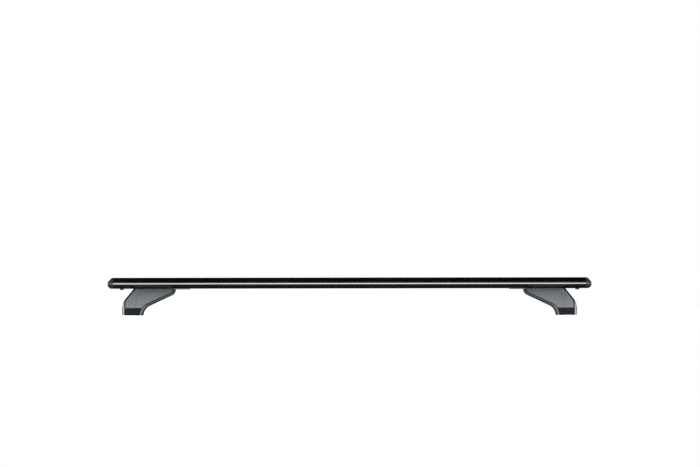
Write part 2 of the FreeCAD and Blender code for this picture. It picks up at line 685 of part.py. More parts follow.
def make_foot_cover(form, core):
    region = prism("cover_side_of_seam", "side", [
        (f"{seam('cover_lift')} + seam_gap", "cover_lift"), ("at_foot_outer + 2", "cover_lift"),
        ("at_foot_outer + 2", HINGE_HEIGHT), (f"{seam(HINGE_HEIGHT)} + seam_gap", HINGE_HEIGHT),
    ], "-foot_half_width - 1", "2 * foot_half_width + 2")
    knuckle = rod("knuckle", "knuckle_radius", "-foot_half_width", "2 * foot_half_width",
                  False, "at_hinge", HINGE_HEIGHT)
    outer = common("cover_outer", form, fused("cover_reach", region, knuckle))
    roof = f"{HINGE_HEIGHT} - cover_roof"
    inboard = f"{SLOT_END} + spine_wall + spine_gap"
    hollow_reach = across_block("cover_hollow_reach", "at_slot", "-1", "at_foot_outer", roof)
    ribs = [across_block(f"cover_rib_{i}", inboard, "cover_lift", "at_foot_outer", roof, "rib_thickness / 2",
                         f"{sign}({RIB_PLACE})") for i, sign in enumerate(("", "-"))]
    catch = across_block("catch_block", inboard, "cover_lift + 2", f"{inboard} + catch_length",
                         "catch_height", "catch_width / 2", CATCH_PLACE)
    catch_foot = across_block("catch_web", f"{inboard} + catch_length / 2", "cover_lift + 2", "at_foot_outer",
                              "catch_height", "rib_thickness / 2", CATCH_PLACE)
    hollow = cut("cover_hollow", common("cover_core", core, hollow_reach), *ribs, catch, catch_foot)
    gaps = [ear_form(f"ear_gap_{i}", f"{sign}ear_place", "seam_gap", False)
            for i, sign in enumerate(("", "-"))]
    pin_hole = hinge_hole("knuckle_bore")
    return cut("right_foot_cover", outer, hollow, pin_hole, *gaps)


def make_hinge_pin():
    return rod("right_hinge_pin", "pin_radius", "-pin_half_length", "2 * pin_half_length",
               False, "at_hinge", HINGE_HEIGHT)


# Carriage, bracket and bolts

BOLT_TOP = f"{BOTTOM_CHANNEL} - bolt_gap"


def make_carriage():
    body = new_body("right_slot_carriage")
    section = body_sketch(body, "section", "end", "at_carriage_start")
    outline(section, stepped(
        FOOT_TOP, ("bottom_mouth / 2 - bolt_gap", f"{BOTTOM_LIP} + bolt_gap"),
        ("bottom_channel / 2 - bolt_gap", BOLT_TOP)))
    feature(body, "Pad", "slider", section, "at_carriage_end - at_carriage_start")
    tongue = body_sketch(body, "tongue", "end", "at_tongue_tip")
    outline(tongue, stepped(f"{FOOT_TOP} - tongue_depth", ("tongue_width / 2", FOOT_TOP)))
    feature(body, "Pad", "tongue", tongue, "at_carriage_start + tongue_lap - at_tongue_tip")
    block = body_sketch(body, "end_block", "end", "at_carriage_end - end_block_length")
    outline(block, stepped(f"{FOOT_TOP} - end_block_drop", ("end_block_width / 2", FOOT_TOP)))
    feature(body, "Pad", "end_block", block, "end_block_length")
    hole = body_sketch(body, "bolt_hole", "side", across="at_bolt")
    wide, narrow = "bolt_head_radius + bolt_gap", "bolt_radius + bolt_gap"
    outline(hole, [
        ("0", f"{FOOT_TOP} - 1"), (narrow, f"{FOOT_TOP} - 1"),
        (narrow, f"{BOLT_TOP} - bolt_head_radius + bolt_radius"), (wide, BOLT_TOP),
        (wide, f"{BOLT_TOP} + 1"), ("0", f"{BOLT_TOP} + 1")])
    seat = turned(body, "Groove", "bolt_seat", hole, "V_Axis")
    row_of(body, "bolt_seats", "X_Axis", [seat], "bolt_spacing")
    return body


def make_bracket():
    body = new_body("right_foot_bracket")
    section = body_sketch(body, "section", "side")
    below = f"{FOOT_TOP} - bracket_thickness"
    outline(section, [
        ("at_bracket", below), (LEG_START, below, "bracket_bend"), (LEG_START, "leg_foot"),
        ("at_slot", "leg_foot"), ("at_slot", FOOT_TOP, "bracket_bend + bracket_thickness"),
        ("at_bracket", FOOT_TOP)])
    feature(body, "Pad", "folded_sheet", section, "2 * bracket_half_width", "Symmetric")
    hole = body_sketch(body, "bolt_holes", "plan")
    circle(hole, "bolt_radius + bolt_gap", "at_bolt")
    circle(hole, "bolt_radius + bolt_gap", "at_bolt + bolt_spacing")
    feature(body, "Pocket", "bolt_holes_cut", hole, None, "Symmetric")
    screw_hole = body_sketch(body, "screw_hole", "end")
    circle(screw_hole, "screw_radius + running_gap", up="bore_height")
    feature(body, "Pocket", "screw_hole_cut", screw_hole, None, "Symmetric")
    return body


def make_bolts():
    body = new_body("right_foot_bolts")
    side = body_sketch(body, "side", "side", across="at_bolt")
    end = f"{BOLT_TOP} - bolt_length"
    outline(side, [
        ("0", end), ("bolt_radius", end), ("bolt_radius", f"{BOLT_TOP} - bolt_head_radius + bolt_radius"),
        ("bolt_head_radius", BOLT_TOP), ("0", BOLT_TOP)])
    turned_bolt = turned(body, "Revolution", "turned", side, "V_Axis")
    doc.recompute()
    key = body_sketch(body, "key", "plan", BOLT_TOP)
    outline(key, hexagon("bolt_socket_flats", "at_bolt"))
    socket = feature(body, "Pocket", "socket", key, "bolt_socket_depth")
    row_of(body, "pair", "X_Axis", [turned_bolt, socket], "bolt_spacing")
    return body


def make_nuts():
    body = new_body("right_bolt_nuts")
    flat = body_sketch(body, "flats", "plan", f"{FOOT_TOP} - bracket_thickness")
    outline(flat, hexagon("nut_flats", "at_bolt"))
    circle(flat, "bolt_radius + running_gap", "at_bolt")
    nut = feature(body, "Pad", "nut", flat, "nut_height", backwards=True)
    row_of(body, "pair", "X_Axis", [nut], "bolt_spacing")
    return body


# Clamp screw and plate

SCREW_SEAT = f"{LEG_START} - washer_thickness"


def make_washer():
    body = new_body("right_screw_washer")
    ring = body_sketch(body, "ring", "end", SCREW_SEAT)
    circle(ring, "washer_radius", up="bore_height")
    circle(ring, "screw_radius + running_gap", up="bore_height")
    feature(body, "Pad", "washer", ring, "washer_thickness")
    return body


def make_clamp_screw():
    body = new_body("right_clamp_screw")
    side = body_sketch(body, "side", "side", across=SCREW_SEAT, up="bore_height")
    outline(side, [
        ("-screw_head_height", "0"), ("-screw_head_height", "screw_head_radius"),
        ("0", "screw_head_radius"), ("0", "screw_radius"), ("screw_length - 1", "screw_radius"),
        ("screw_length", "screw_radius - 1"), ("screw_length", "0")])
    turned(body, "Revolution", "turned", side, "H_Axis")
    doc.recompute()
    key = body_sketch(body, "key", "end", f"{SCREW_SEAT} - screw_head_height", up="bore_height")
    outline(key, hexagon("screw_socket_flats"))
    feature(body, "Pocket", "socket", key, "screw_socket_depth", backwards=True)
    return body


def make_screw_clip():
    body = new_body("right_screw_clip")
    ring = body_sketch(body, "ring", "end", f"{SLOT_END} + spine_wall + seam_gap")
    circle(ring, "clip_radius", up="bore_height")
    circle(ring, "screw_radius + running_gap", up="bore_height")
    feature(body, "Pad", "clip", ring, "clip_thickness")
    return body


def make_clamp_plate():
    body = new_body("right_clamp_plate")
    face = body_sketch(body, "face", "end", f"{SLOT_END} - bolt_gap - plate_thickness")
    top = "plate_foot + plate_height"
    outline(face, mirrored([("plate_half_width", "plate_foot", "plate_round"),
                            ("plate_half_width", top, "plate_round")]))
    circle(face, "screw_radius + running_gap", up="bore_height")
    feature(body, "Pad", "plate", face, "plate_thickness")
    return body


def mirror(piece):
    """The left-hand twin of a right-hand piece."""
    twin = doc.addObject("Part::Mirroring", piece.Label.replace("right_", "left_"))
    twin.Source = piece
    twin.Normal = Vector(1, 0, 0)
    return twin


def make_all():
    form = foot_form("foot_form", "0", FOOT_TOP)
    core = foot_form("foot_core", "foot_wall", f"{FOOT_TOP} + 4")
    middle = [make_bar(), make_top_strip(), make_bottom_strip()]
    right = [make_end_cap(), make_foot_shell(form, core), make_foot_cover(form, core), make_hinge_pin(),
             make_carriage(), make_bracket(), make_bolts(), make_nuts(), make_washer(),
             make_clamp_screw(), make_screw_clip(), make_clamp_plate()]
    return middle + right + [mirror(piece) for piece in right]


def check(pieces):
    doc.recompute()
    for item in doc.Objects:
        if "Invalid" in item.State or "Error" in item.State:
            raise RuntimeError(f"{item.Label} did not build: {item.State}")
    for piece in pieces:
        if piece.Shape.isNull() or not piece.Shape.isValid() or piece.Shape.Volume <= 0:
            raise RuntimeError(f"{piece.Label} has no sound shape")


pieces = make_all()
check(pieces)
os.makedirs("parts", exist_ok=True)
for piece in pieces:
    piece.Shape.exportStep(f"parts/{piece.Label}.step")
    print(f"{piece.Label}: {len(piece.Shape.Solids)} solid, {piece.Shape.Volume / 1000:.1f} cm3")
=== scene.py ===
import json
import math

import bmesh
import bpy
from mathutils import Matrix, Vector
from mathutils.bvhtree import BVHTree


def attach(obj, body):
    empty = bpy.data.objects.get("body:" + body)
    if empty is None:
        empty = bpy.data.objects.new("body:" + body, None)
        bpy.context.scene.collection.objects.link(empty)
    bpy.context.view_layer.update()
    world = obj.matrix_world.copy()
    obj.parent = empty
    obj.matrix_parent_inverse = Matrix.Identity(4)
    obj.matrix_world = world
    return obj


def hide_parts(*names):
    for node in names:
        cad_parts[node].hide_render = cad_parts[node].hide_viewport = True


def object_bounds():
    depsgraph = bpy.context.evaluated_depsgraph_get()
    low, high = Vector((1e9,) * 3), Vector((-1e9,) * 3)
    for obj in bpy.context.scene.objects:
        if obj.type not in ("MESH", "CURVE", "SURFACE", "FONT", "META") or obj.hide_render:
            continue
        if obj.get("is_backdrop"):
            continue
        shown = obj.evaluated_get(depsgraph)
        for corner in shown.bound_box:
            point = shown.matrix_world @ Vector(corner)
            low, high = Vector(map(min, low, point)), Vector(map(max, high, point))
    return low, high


# Roof rack crossbar. The CAD model is the frame; this script gives its pieces their finish.
# Everything is in metres: X along the bar, -Y faces the camera, Z up.

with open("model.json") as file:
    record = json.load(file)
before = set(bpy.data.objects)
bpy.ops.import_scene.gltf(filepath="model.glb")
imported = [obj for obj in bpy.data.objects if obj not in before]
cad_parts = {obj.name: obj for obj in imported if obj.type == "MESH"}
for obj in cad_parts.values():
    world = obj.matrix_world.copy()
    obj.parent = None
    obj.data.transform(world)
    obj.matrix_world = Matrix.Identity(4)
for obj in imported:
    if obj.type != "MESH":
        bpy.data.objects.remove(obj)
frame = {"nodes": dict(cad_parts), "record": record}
nodes = frame["nodes"]
cad_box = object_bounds()
MM = 0.001


# Shader and geometry trees

def new_group(name, inputs, outputs):
    group = bpy.data.node_groups.new(name, "ShaderNodeTree")
    for title, kind, value in inputs:
        socket = group.interface.new_socket(title, in_out="INPUT", socket_type=kind)
        if value is not None:
            socket.default_value = value
    for title, kind in outputs:
        group.interface.new_socket(title, in_out="OUTPUT", socket_type=kind)
    return group, group.nodes.new("NodeGroupInput"), group.nodes.new("NodeGroupOutput")


class Wiring:
    """Adds nodes to a tree and joins them."""

    def __init__(self, tree):
        self.tree = tree

    def add(self, kind, inputs=None, **settings):
        node = self.tree.nodes.new(kind)
        for name, value in settings.items():
            setattr(node, name, value)
        for name, value in (inputs or {}).items():
            self.join(value, node.inputs[name])
        return node

    def join(self, value, socket):
        if isinstance(value, bpy.types.NodeSocket):
            self.tree.links.new(value, socket)
        else:
            socket.default_value = value

    def maths(self, operation, first, second=0.0):
        return self.add("ShaderNodeMath", {0: first, 1: second}, operation=operation).outputs[0]

    def product(self, first, *others):
        """Masks and shares multiplied, so that a mask stays only where all of them are on."""
        for other in others:
            first = self.maths("MULTIPLY", first, other)
        return first

    def ramp(self, value, low, high, out_low=0.0, out_high=1.0):
        """A smooth step between two values."""
        node = self.add("ShaderNodeMapRange", {
            "Value": value, "From Min": low, "From Max": high, "To Min": out_low, "To Max": out_high,
        }, interpolation_type="SMOOTHSTEP")
        return node.outputs["Result"]

    def blend(self, factor, first, second):
        node = self.add("ShaderNodeMix", data_type="RGBA")
        self.join(factor, node.inputs["Factor"])
        self.join(first, node.inputs["A"])
        self.join(second, node.inputs["B"])
        return node.outputs["Result"]

    def noise(self, where, scale, detail=3.0, rough=0.5, stretch=None):
        if stretch:
            where = self.add("ShaderNodeMapping", {"Vector": where, "Scale": stretch}).outputs[0]
        return self.add("ShaderNodeTexNoise", {
            "Vector": where, "Scale": scale, "Detail": detail, "Roughness": rough}).outputs["Fac"]

    def place(self):
        return self.add("ShaderNodeTexCoord").outputs["Object"]

    def measure(self, where):
        """A place's distance from the middle along the bar and across it, and its height."""
        place = self.add("ShaderNodeSeparateXYZ", {0: where}).outputs
        return self.maths("ABSOLUTE", place["X"]), self.maths("ABSOLUTE", place["Y"]), place["Z"]


NOISE_REACH = (0.3, 0.7)


def make_grain():
    """Moulded or coated grain: fine speckle and a slow unevenness."""
    group, given, out = new_group("surface_grain", [
        ("Place", "NodeSocketVector", None), ("Fineness", "NodeSocketFloat", 900.0),
        ("Blotch", "NodeSocketFloat", 18.0),
    ], [("Speckle", "NodeSocketFloat"), ("Uneven", "NodeSocketFloat")])
    wires = Wiring(group)
    fine = wires.noise(given.outputs["Place"], given.outputs["Fineness"], detail=4.0, rough=0.65)
    slow = wires.noise(given.outputs["Place"], given.outputs["Blotch"], detail=3.0, rough=0.55)
    wires.join(wires.ramp(fine, *NOISE_REACH), out.inputs["Speckle"])
    wires.join(wires.ramp(slow, *NOISE_REACH), out.inputs["Uneven"])
    return group


GRAIN = make_grain()


class Finish(Wiring):
    """One material: a Principled surface with its Object coordinates."""

    def __init__(self, name, roughness, metallic=0.0, specular=0.5):
        self.material = bpy.data.materials.new(name)
        self.material.use_nodes = True
        super().__init__(self.material.node_tree)
        self.surface = self.tree.nodes["Principled BSDF"]
        self.where = self.place()
        self.surface.inputs["Roughness"].default_value = roughness
        self.surface.inputs["Metallic"].default_value = metallic
        self.surface.inputs["Specular IOR Level"].default_value = specular

    def grain(self, fineness, blotch=20.0):
        """Speckle and unevenness of the given scales."""
        grain = self.add("ShaderNodeGroup", {
            "Place": self.where, "Fineness": fineness, "Blotch": blotch}, node_tree=GRAIN)
        return grain.outputs["Speckle"], grain.outputs["Uneven"]

    def mottle(self, dark, light, fineness, patches=0.3):
        """A speckled colour with slow darker patches, and its speckle."""
        speckle, uneven = self.grain(fineness)
        return self.blend(self.product(uneven, patches), self.blend(speckle, dark, light), dark), speckle

    def colour(self, value):
        self.join(value, self.surface.inputs["Base Color"])

    def bump(self, height, depth, strength=1.0):
        node = self.add("ShaderNodeBump", {"Height": height, "Distance": depth, "Strength": strength})
        self.join(node.outputs[0], self.surface.inputs["Normal"])


# The foot seen from the front: rounds between its inner slope, its heel, its tip and its outer lean

SLOPE, LEAN = math.radians(24.8), math.radians(38)
HEEL_MIDDLE = (0.5190, 0.0001)
TIP_ROUND, TIP_MIDDLE = 0.0185, (0.4785, 0.0700)
LEAN_ROUND, LEAN_MIDDLE = 0.0500, (0.5505, 0.0155)


def make_outline():
    """How far a place on the foot lies inside its inner and its outer outline."""
    group, given, out = new_group("foot_outline", [("Place", "NodeSocketVector", None)],
                                  [("Inner", "NodeSocketFloat"), ("Outer", "NodeSocketFloat")])
    wires = Wiring(group)
    along, _, up = wires.measure(given.outputs["Place"])

    def reach(middle, angle, side, lowest=-1.0):
        """Distance from a round's middle as far as the round goes, then from the line it runs into."""
        level = wires.maths("SUBTRACT", along, middle[0])
        rise = wires.maths("MAXIMUM", wires.maths("SUBTRACT", up, middle[1]), lowest)
        off = wires.maths("ADD", wires.product(level, math.sin(angle)), wires.product(rise, math.cos(angle)))
        on = wires.maths("SUBTRACT", wires.product(level, math.cos(angle)),
                         wires.product(rise, math.sin(angle)))
        on = wires.maths("MAXIMUM", wires.product(on, side), 0.0)
        near = wires.maths("MAXIMUM", wires.product(off, side), 0.0)
        square = wires.maths("ADD", wires.product(on, on), wires.product(near, near))
        return wires.maths("SQRT", square), off

    to_heel, off_slope = reach(HEEL_MIDDLE, SLOPE, 1.0)
    to_tip, _ = reach(TIP_MIDDLE, SLOPE, -1.0)
    to_lean, _ = reach(LEAN_MIDDLE, math.pi / 2 - LEAN, 1.0, lowest=0.0)
    inside_heel = wires.maths("SUBTRACT", to_heel, off_slope)
    inside_tip = wires.maths("SUBTRACT", TIP_ROUND, to_tip)
    wires.join(wires.maths("ADD", inside_heel, inside_tip), out.inputs["Inner"])
    wires.join(wires.maths("SUBTRACT", LEAN_ROUND, to_lean), out.inputs["Outer"])
    return group


OUTLINE = make_outline()


# Finish of the feet: its colours, from dark to light where there are two. The greys and the patch grey are
# the plastic's own. The pale grey is painted light. The near black, the flare grey and the band greys are
# painted shade. The low band grey is painted light.

LIT_PALE = (0.36, 0.37, 0.38, 1)
SHADE_BLACK = (0.005, 0.0055, 0.008, 1)
GREYS = (0.086, 0.095, 0.102, 1), (0.121, 0.131, 0.140, 1)
PATCH_GREY = (0.080, 0.088, 0.095, 1)
FLARE_SHADE_GREY = (0.070, 0.077, 0.083, 1)
SHADED_BAND_GREYS = (0.040, 0.044, 0.048, 1), (0.062, 0.067, 0.072, 1)
LIT_LOW_BAND_GREY = (0.135, 0.143, 0.150, 1)

# Where its painted lines lie. Rims, band and lean line are measured inwards from the foot's outline.

SKIRT_TOP = 0.0206
LEAN_FOOT = 0.0380
CORNER_LINE = (0.5908, 0.5940)
RIM, BAND, LAST_RIM = 2.2 * MM, 5.2 * MM, 7.4 * MM
LEAN_LINE, LEAN_GLINT = 4.6 * MM, 6.8 * MM
BLUR = 0.35 * MM

# Each pair says where a shade begins and where it is full.

SKIRT_FACE = (0.0660, 0.0666)
SKIRT_DOWN = (SKIRT_TOP, SKIRT_TOP - 1.5 * MM)
CORNER_FACE = (0.055, 0.064)
LOW_LIGHT_DOWN, BAR_SHADE_UP = (0.062, 0.030), (0.046, 0.070)
FLARE_DOWN, FLARE_OUT = (0.032, 0.024), (0.054, 0.060)
CREASE_OUT = (0.056, 0.060)
CREASE_UP, CREASE_DOWN = (SKIRT_TOP + 1 * MM, SKIRT_TOP + 3 * MM), (SKIRT_TOP + 7 * MM, SKIRT_TOP + 5 * MM)
GLINT_UP = (0.030, 0.038)
LEAN_UP, LEAN_DOWN = (LEAN_FOOT - 3 * MM, LEAN_FOOT - 2 * MM), (LEAN_FOOT, LEAN_FOOT - 2 * MM)
BAND_LIGHT_DOWN = (0.030, 0.020)

# How much of each shade is laid on, and how deep a groove is beside the grain. The patches are the plastic's
# own unevenness. The other shares are of painted light and painted shade.

PATCHES, LOW_LIGHT, BAR_SHADE, FLARE_SHADE = 0.35, 0.11, 0.16, 0.5
GLINT, CREASE_HIGHLIGHT, SKIRT_SHEEN, CORNER_HIGHLIGHT = 0.35, 0.5, 0.007, 0.85
GROOVE_DEPTH = 3.0


class FootFinish(Finish):
    """Grained grey plastic, with masks for the painted lines, painted shade and painted light on a foot."""

    def __init__(self, name):
        super().__init__(name, roughness=0.5, specular=0.06)
        self.speckle, self.uneven = self.grain(1700.0, blotch=14.0)
        self.along, self.across, self.up = self.measure(self.where)
        self.low = self.ramp(self.up, *LEAN_DOWN)

    def grey(self):
        """The foot's own grey, grained and a little uneven."""
        return self.blend(self.product(self.uneven, PATCHES), self.blend(self.speckle, *GREYS), PATCH_GREY)

    def shade(self, body):
        """Painted light low down, painted shade under the bar, and painted shade where the flank flares out
        to its skirt.
        """
        body = self.blend(self.ramp(self.up, *LOW_LIGHT_DOWN, out_high=LOW_LIGHT), body, LIT_PALE)
        body = self.blend(self.ramp(self.up, *BAR_SHADE_UP, out_high=BAR_SHADE), body, SHADE_BLACK)
        flare = self.product(self.ramp(self.up, *FLARE_DOWN), self.ramp(self.across, *FLARE_OUT))
        return self.blend(self.product(flare, FLARE_SHADE), body, FLARE_SHADE_GREY)

    def glint(self, outer):
        """Painted highlights beside the lean's dark line, and along the crease over the skirt."""
        beside = self.product(self.ramp(outer, LEAN_GLINT, LEAN_LINE), self.ramp(self.up, *GLINT_UP))
        crease = self.product(self.ramp(self.up, *CREASE_UP), self.ramp(self.up, *CREASE_DOWN),
                              self.ramp(self.across, *CREASE_OUT))
        return self.maths("MAXIMUM", beside, self.product(crease, CREASE_HIGHLIGHT))

    def skirt(self):
        """Painted shade: the dark foot of a flank, as far as its corner."""
        return self.product(self.ramp(self.across, *SKIRT_FACE), self.ramp(self.up, *SKIRT_DOWN),
                            self.ramp(self.along, CORNER_LINE[1] + BLUR, CORNER_LINE[1]))

    def outer_shade_line(self, outer):
        """Painted shade: the dark line down the lean and beside the corner."""
        upright = self.product(self.ramp(self.along, CORNER_LINE[0], CORNER_LINE[0] + BLUR),
                               self.ramp(self.along, CORNER_LINE[1] + BLUR, CORNER_LINE[1]), self.low)
        lean = self.product(self.ramp(outer, LEAN_LINE + BLUR, LEAN_LINE), self.ramp(self.up, *LEAN_UP))
        return self.maths("MAXIMUM", upright, lean)

    def lay(self, body, height):
        """Set the colour, with a painted highlight on the upright corner over it, and the relief."""
        # The pale upright corner is a painted highlight
        corner = self.product(self.ramp(self.along, CORNER_LINE[1], CORNER_LINE[1] + BLUR), self.low,
                              self.ramp(self.across, *CORNER_FACE))
        self.colour(self.blend(self.product(corner, CORNER_HIGHLIGHT), body, LIT_PALE))
        self.bump(height, depth=0.12 * MM, strength=0.8)
        return self.material


def make_foot_plastic():
    finish = FootFinish("foot_plastic")
    return finish.lay(finish.grey(), finish.speckle)


def make_foot_flank():
    """A foot's flank: a skirt and an outer line in painted shade, and a band between two painted dark rims
    along its inner outline, itself painted shade that turns paler low down.
    """
    finish = FootFinish("foot_flank")
    outline = finish.add("ShaderNodeGroup", {"Place": finish.where}, node_tree=OUTLINE)
    inner, outer = outline.outputs["Inner"], outline.outputs["Outer"]
    # Painted shade on the skirt and the outer line, painted highlights beside them, and a faint painted sheen
    # on the skirt
    skirt = finish.skirt()
    line = finish.outer_shade_line(outer)
    body = finish.blend(finish.product(finish.glint(outer), GLINT), finish.shade(finish.grey()), LIT_PALE)
    body = finish.blend(finish.maths("MAXIMUM", skirt, line), body, SHADE_BLACK)
    body = finish.blend(finish.product(skirt, SKIRT_SHEEN), body, LIT_PALE)

    # A band in painted shade, paler low down, between two painted dark rims; the rims and the outer line are
    # also shallow grooves in the relief
    in_band = finish.ramp(inner, LAST_RIM + BLUR, LAST_RIM)
    between = finish.product(finish.ramp(inner, RIM - BLUR, RIM), finish.ramp(inner, BAND + BLUR, BAND))
    band = finish.blend(finish.speckle, *SHADED_BAND_GREYS)
    band = finish.blend(finish.ramp(finish.up, *BAND_LIGHT_DOWN), band, LIT_LOW_BAND_GREY)
    body = finish.blend(in_band, body, finish.blend(between, SHADE_BLACK, band))
    rims = finish.product(in_band, finish.maths("SUBTRACT", 1.0, between))
    grooves = finish.maths("MAXIMUM", rims, line)
    return finish.lay(body, finish.maths("SUBTRACT", finish.speckle, finish.product(grooves, GROOVE_DEPTH)))


# The other finishes

def make_plain(name, dark, light, roughness, fineness, depth, **more):
    """A mottled finish with a fine relief."""
    finish = Finish(name, roughness, **more)
    colour, speckle = finish.mottle(dark, light, fineness)
    finish.colour(colour)
    finish.bump(speckle, depth, strength=0.6)
    return finish.material


def make_bar_coating():
    """Black anodised aluminium with the extrusion's faint lengthwise lines."""
    finish = Finish("bar_black", roughness=0.3, metallic=1.0)
    finish.surface.inputs["Specular Tint"].default_value = (0.3, 0.3, 0.3, 1)
    lines = finish.noise(finish.where, 900.0, detail=2.0, rough=0.5, stretch=(0.004, 1.0, 1.0))
    speckle, uneven = finish.grain(1600.0, blotch=9.0)
    base = finish.blend(uneven, (0.19, 0.191, 0.193, 1), (0.23, 0.231, 0.233, 1))
    finish.colour(finish.blend(finish.product(lines, 0.5), base, (0.27, 0.27, 0.27, 1)))
    relief = finish.maths("ADD", lines, finish.product(speckle, 0.3))
    finish.bump(relief, depth=0.02 * MM, strength=0.5)
    rough = finish.ramp(finish.maths("ADD", uneven, lines), 0.5, 1.5, out_low=0.16, out_high=0.24)
    finish.join(rough, finish.surface.inputs["Roughness"])
    return finish.material


STRIP_SIDES = (0.084, 0.080)
BLOCK_END = (0.5970, 0.5980)


def make_strip_rubber():
    """Slate grey on top of the bar, near black underneath."""
    finish = Finish("strip_rubber", roughness=0.6)
    colour, speckle = finish.mottle((0.036, 0.045, 0.062, 1), (0.062, 0.076, 0.098, 1), fineness=500.0)
    _, _, up = finish.measure(finish.where)
    finish.colour(finish.blend(finish.ramp(up, *STRIP_SIDES), colour, (0.010, 0.011, 0.013, 1)))
    finish.bump(speckle, depth=0.06 * MM, strength=0.6)
    return finish.material


def make_carriage_metal():
    """Dark slider with a black block at its outer end."""
    finish = Finish("carriage_metal", roughness=0.38, metallic=0.3)
    speckle, uneven = finish.grain(600.0)
    along, _, _ = finish.measure(finish.where)
    base = finish.blend(speckle, (0.020, 0.020, 0.021, 1), (0.040, 0.040, 0.042, 1))
    base = finish.blend(finish.product(uneven, 0.5), base, (0.012, 0.012, 0.013, 1))
    finish.colour(finish.blend(finish.ramp(along, *BLOCK_END), base, (0.006, 0.006, 0.006, 1)))
    finish.bump(speckle, depth=0.03 * MM, strength=0.6)
    return finish.material


FOOT = make_foot_plastic()
FOOT_FLANK = make_foot_flank()
# The foot's edge finish is near black as painted shade on its cut edges, and its inside finish near black as
# painted shade in its hollow
FOOT_EDGE_SHADE = make_plain("foot_edge", (0.004, 0.004, 0.007, 1), (0.010, 0.010, 0.014, 1),
                       roughness=0.5, fineness=900.0, depth=0.03 * MM, specular=0.05)
FOOT_HOLLOW_SHADE = make_plain("foot_inside", (0.008, 0.008, 0.018, 1), (0.016, 0.016, 0.032, 1),
                         roughness=0.55, fineness=700.0, depth=0.05 * MM, specular=0.2)
BAR = make_bar_coating()
RUBBER = make_strip_rubber()
CAP = make_plain("cap_plastic", (0.015, 0.0155, 0.017, 1), (0.027, 0.028, 0.031, 1),
                 roughness=0.34, fineness=1100.0, depth=0.04 * MM)
CARRIAGE = make_carriage_metal()
STEEL = make_plain("zinc_steel", (0.50, 0.50, 0.49, 1), (0.66, 0.66, 0.64, 1),
                   roughness=0.32, fineness=700.0, depth=0.02 * MM, metallic=1.0)
CLIP = make_plain("clip_black", (0.015, 0.015, 0.015, 1), (0.030, 0.030, 0.030, 1),
                  roughness=0.4, fineness=500.0, depth=0.02 * MM)

FINISHES = {
    "bar_black": [BAR], "strip_rubber": [RUBBER], "cap_plastic": [CAP],
    "foot_plastic": [FOOT, FOOT_EDGE_SHADE, FOOT_FLANK, FOOT_HOLLOW_SHADE],
    "carriage_metal": [CARRIAGE], "steel": [STEEL], "clip_black": [CLIP],
}
slot_of = {entry["node"]: entry["material_slot"] for entry in frame["record"]["subparts"]}
bodies = frame["record"]["behaviour"]["bodies"]
body_of = {node: body for body, members in bodies.items() for node in members}


# Pieces: each is a copy of its frame node with its edges rounded and its small forms added

WELD = 0.03 * MM
FLAT = math.radians(0.5)
CREASED = math.radians(38)
EDGE_TURN, STEEP_TURN = 28, 40


def skin_of(node):
    """A node's loose triangles joined into one skin of whole faces."""
    shape = bmesh.new()
    shape.from_mesh(nodes[node].data)
    for face in shape.faces:
        face.material_index = 0
    bmesh.ops.remove_doubles(shape, verts=shape.verts, dist=WELD)
    bmesh.ops.dissolve_degenerate(shape, edges=shape.edges, dist=WELD)
    bmesh.ops.dissolve_limit(shape, angle_limit=FLAT, verts=shape.verts, edges=shape.edges)
    return shape


def sharp_edges(shape, degrees):
    """The edges that turn by more than an angle."""
    return [edge for edge in shape.edges
            if edge.is_manifold and edge.calc_face_angle(0) > math.radians(degrees)]


def round_off(shape, edges, width):
    bmesh.ops.bevel(shape, geom=edges, offset=width, offset_type="OFFSET", segments=2, profile=0.5,
                    affect="EDGES", material=-1, clamp_overlap=False, loop_slide=True)


def bake(piece):
    """Turn a piece and its modifiers into a plain mesh."""
    bpy.context.view_layer.update()
    ready = piece.evaluated_get(bpy.context.evaluated_depsgraph_get())
    mesh = bpy.data.meshes.new_from_object(ready)
    piece.modifiers.clear()
    piece.data = mesh


def as_piece(shape, node):
    """Shade the finished skin, and let it stand for its node."""
    mesh = bpy.data.meshes.new(node + "_skin")
    shape.to_mesh(mesh)
    shape.free()
    custom = mesh.attributes.get("custom_normal")
    if custom:
        mesh.attributes.remove(custom)
    for material in FINISHES[slot_of[node]]:
        mesh.materials.append(material)
    mesh.shade_smooth()
    mesh.set_sharp_from_angle(angle=CREASED)
    piece = bpy.data.objects.new(node + "_skin", mesh)
    bpy.context.scene.collection.objects.link(piece)
    weights = piece.modifiers.new("normals", "WEIGHTED_NORMAL")
    weights.keep_sharp = True
    bake(piece)
    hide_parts(node)
    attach(piece, body_of[node])


def soften(node, width, degrees=EDGE_TURN):
    """A piece whose sharp edges are rounded."""
    shape = skin_of(node)
    round_off(shape, sharp_edges(shape, degrees), width)
    as_piece(shape, node)


# Forms that repeat or follow a path, made with geometry nodes

def form_tree(name, inputs):
    """A new geometry tree's wiring, its named inputs, and the socket that its result goes into."""
    tree = bpy.data.node_groups.new(name, "GeometryNodeTree")
    for title, kind in inputs:
        tree.interface.new_socket(title, in_out="INPUT", socket_type=kind)
    tree.interface.new_socket("Geometry", in_out="OUTPUT", socket_type="NodeSocketGeometry")
    given = tree.nodes.new("NodeGroupInput")
    return Wiring(tree), given.outputs, tree.nodes.new("NodeGroupOutput").inputs["Geometry"]


def finish_form(wires, form, given, result):
    """Make the form a plain mesh with its material, as the tree's result."""
    plain = wires.add("GeometryNodeRealizeInstances", {"Geometry": form}).outputs[0]
    dressed = wires.add("GeometryNodeSetMaterial", {"Geometry": plain, "Material": given["Material"]})
    wires.join(dressed.outputs[0], result)


